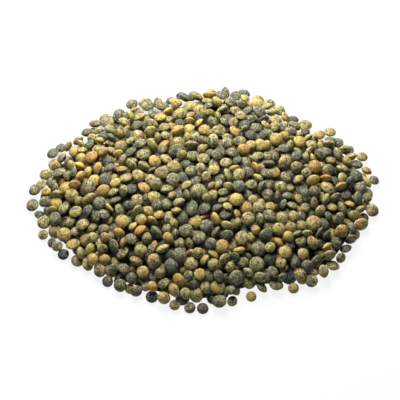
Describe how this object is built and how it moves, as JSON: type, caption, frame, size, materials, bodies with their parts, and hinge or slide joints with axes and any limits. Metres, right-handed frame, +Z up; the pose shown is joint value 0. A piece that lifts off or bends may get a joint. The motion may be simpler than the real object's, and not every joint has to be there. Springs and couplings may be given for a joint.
{
  "type": "heap of dry lentils",
  "caption": "Low rounded cone of dry green lentils poured on a flat surface, with an uneven edge of lentils that lie flat on it.",
  "frame": {"origin": "centre of the heap's box in plan, at the level of the surface it lies on", "axes": "+Z up out of the surface, +X along the heap's longer side, -Y towards the side it is seen from"},
  "size_m": [0.1402, 0.1028, 0.0186],
  "materials": {
    "green_lentil": "dry seed coats, smooth with a dull gloss, marbled dark grey-green on olive and tan"
  },
  "bodies": {
    "root": {"lentil_heap": "green_lentil"}
  },
  "joints": []
}
